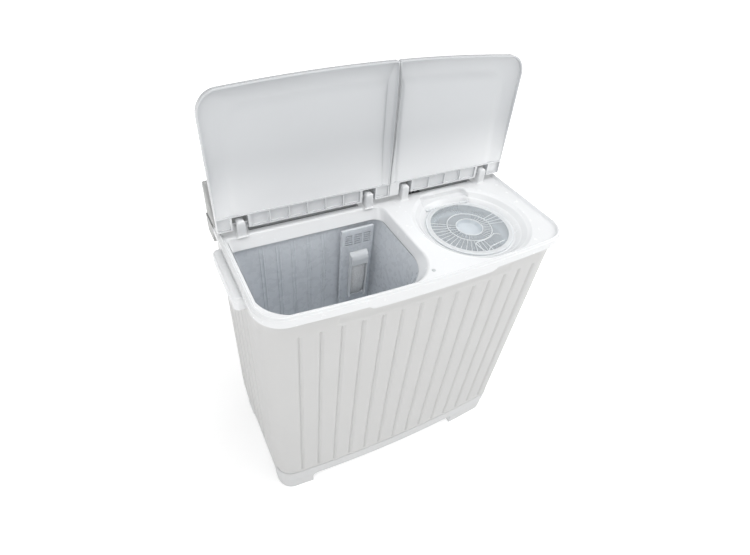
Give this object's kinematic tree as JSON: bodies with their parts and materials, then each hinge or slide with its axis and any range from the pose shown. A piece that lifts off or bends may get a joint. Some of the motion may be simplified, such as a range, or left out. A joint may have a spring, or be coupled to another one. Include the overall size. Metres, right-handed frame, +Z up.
{
  "type": "twin-tub washing machine",
  "caption": "Upright twin-tub washer: open-lidded wash tub beside a spin drier, ribbed white cabinet on a footed base, rear console.",
  "frame": {"origin": "on the floor, under the middle of the machine", "axes": "+Z up, +Y to the back, +X to the right seen from the front"},
  "size_m": [0.84, 0.4286, 1.1137],
  "materials": {
    "cabinet_white": "fine satin moulding, vertical grooves",
    "base_white": "matt moulding",
    "cover_white": "semi-gloss moulding",
    "lid_white": "semi-gloss, slightly blue-grey white",
    "tub_grey": "satin grey polypropylene",
    "clear_plastic": "clear moulded plastic with ribs",
    "filter_grey": "satin",
    "basket_white": "satin perforated drum",
    "panel_grey": "smooth fascia",
    "knob_grey": "satin dial",
    "rubber_black": "matt rubber",
    "steel": "zinc plated",
    "motor_metal": "cast housing, stands for the motors' mixed metals",
    "black_plastic": "matt moulding"
  },
  "bodies": {
    "machine": {"base_frame": "base_white", "brake_bracket": "steel", "bumper_plug": "filter_grey", "cabinet": "cabinet_white", "cable_gland": "rubber_black", "control_console": "cover_white", "control_panel": "panel_grey", "drain_outlet": "black_plastic", "drain_selector": "black_plastic", "drain_valve_body": "black_plastic", "drive_belt": "rubber_black", "left_handle": "cover_white", "overflow_panel": "tub_grey", "pulsator_bearing_housing": "motor_metal", "rear_cover_screw_1": "steel", "rear_cover_screw_2": "steel", "rear_cover_screw_3": "steel", "rear_cover_screw_4": "steel", "rear_service_cover": "cabinet_white", "right_handle": "cover_white", "run_capacitor": "motor_metal", "spin_lid_pin_left": "steel", "spin_lid_pin_right": "steel", "spin_motor": "motor_metal", "spin_motor_plate": "steel", "spin_mount_spring_1": "steel", "spin_mount_spring_2": "steel", "spin_mount_spring_3": "steel", "spin_shaft_seal": "rubber_black", "spin_timer": "black_plastic", "spin_tub": "tub_grey", "top_cover": "cover_white", "wash_lid_pin_left": "steel", "wash_lid_pin_right": "steel", "wash_motor": "motor_metal", "wash_motor_bracket": "steel", "wash_timer": "black_plastic", "wash_tub": "tub_grey", "water_inlet": "knob_grey"},
    "wash_lid": {"wash_lid": "lid_white"},
    "spin_lid": {"spin_lid": "lid_white"},
    "spin_inner_cover": {"spin_inner_cover": "clear_plastic"},
    "pulsator": {"pulsator": "cover_white", "pulsator_screw": "steel", "pulsator_shaft": "steel", "driven_pulley": "black_plastic"},
    "wash_motor_rotor": {"wash_motor_pulley": "steel"},
    "spin_rotor": {"spin_basket": "basket_white", "spin_shaft": "steel", "brake_drum": "motor_metal"},
    "brake_lever": {"brake_lever": "steel"},
    "lint_filter": {"lint_filter": "clear_plastic"},
    "wash_timer_knob": {"wash_timer_knob": "knob_grey"},
    "spin_timer_knob": {"spin_timer_knob": "knob_grey"},
    "drain_selector_knob": {"drain_selector_knob": "knob_grey"},
    "drain_plunger": {"drain_plunger": "rubber_black"}
  },
  "joints": [
    {"name": "wash_lid_hinge", "type": "hinge", "parent": "machine", "child": "wash_lid", "pos_m": [-0.18, 0.105, 0.8], "axis": [1, 0, 0], "range_deg": [0, 96]},
    {"name": "spin_lid_hinge", "type": "hinge", "parent": "machine", "child": "spin_lid", "pos_m": [0.22, 0.105, 0.8], "axis": [1, 0, 0], "range_deg": [0, 96]},
    {"name": "inner_cover_hinge", "type": "hinge", "parent": "machine", "child": "spin_inner_cover", "pos_m": [0.205, 0.054, 0.7473], "axis": [1, 0, 0], "range_deg": [-85, 0]},
    {"name": "pulsator_spin", "type": "hinge", "parent": "machine", "child": "pulsator", "pos_m": [-0.187, -0.037, 0.383], "axis": [0, 0, 1], "continuous": true},
    {"name": "wash_motor_spin", "type": "hinge", "parent": "machine", "child": "wash_motor_rotor", "pos_m": [-0.32, 0.03, 0.285], "axis": [0, 0, 1], "continuous": true},
    {"name": "spin_basket_spin", "type": "hinge", "parent": "machine", "child": "spin_rotor", "pos_m": [0.205, -0.048, 0.4], "axis": [0, 0, 1], "continuous": true},
    {"name": "brake_lever_pivot", "type": "hinge", "parent": "machine", "child": "brake_lever", "pos_m": [0.1507, 0, 0.312], "axis": [0, 0, 1], "range_deg": [-8.5, 0]},
    {"name": "lint_filter_slide", "type": "slide", "parent": "machine", "child": "lint_filter", "axis": [0, 0, 1], "range_m": [0, 0.04]},
    {"name": "wash_timer_turn", "type": "hinge", "parent": "machine", "child": "wash_timer_knob", "pos_m": [-0.22, 0.172, 0.831], "axis": [0, -0.7835, 0.6214], "range_deg": [-300, 0]},
    {"name": "spin_timer_turn", "type": "hinge", "parent": "machine", "child": "spin_timer_knob", "pos_m": [0.22, 0.172, 0.831], "axis": [0, -0.7835, 0.6214], "range_deg": [-300, 0]},
    {"name": "drain_selector_turn", "type": "hinge", "parent": "machine", "child": "drain_selector_knob", "pos_m": [0, 0.172, 0.831], "axis": [0, -0.7835, 0.6214], "range_deg": [-90, 0]},
    {"name": "drain_plunger_lift", "type": "slide", "parent": "machine", "child": "drain_plunger", "axis": [0, 0, 1], "range_m": [0, 0.012]}
  ],
  "couplings": [
    {"joint": "wash_motor_spin", "follows": "pulsator_spin", "ratio": 3.75},
    {"joint": "brake_lever_pivot", "follows": "spin_lid_hinge", "ratio": -0.083333},
    {"joint": "drain_selector_turn", "follows": "drain_plunger_lift", "rad_per_m": -130.8}
  ]
}
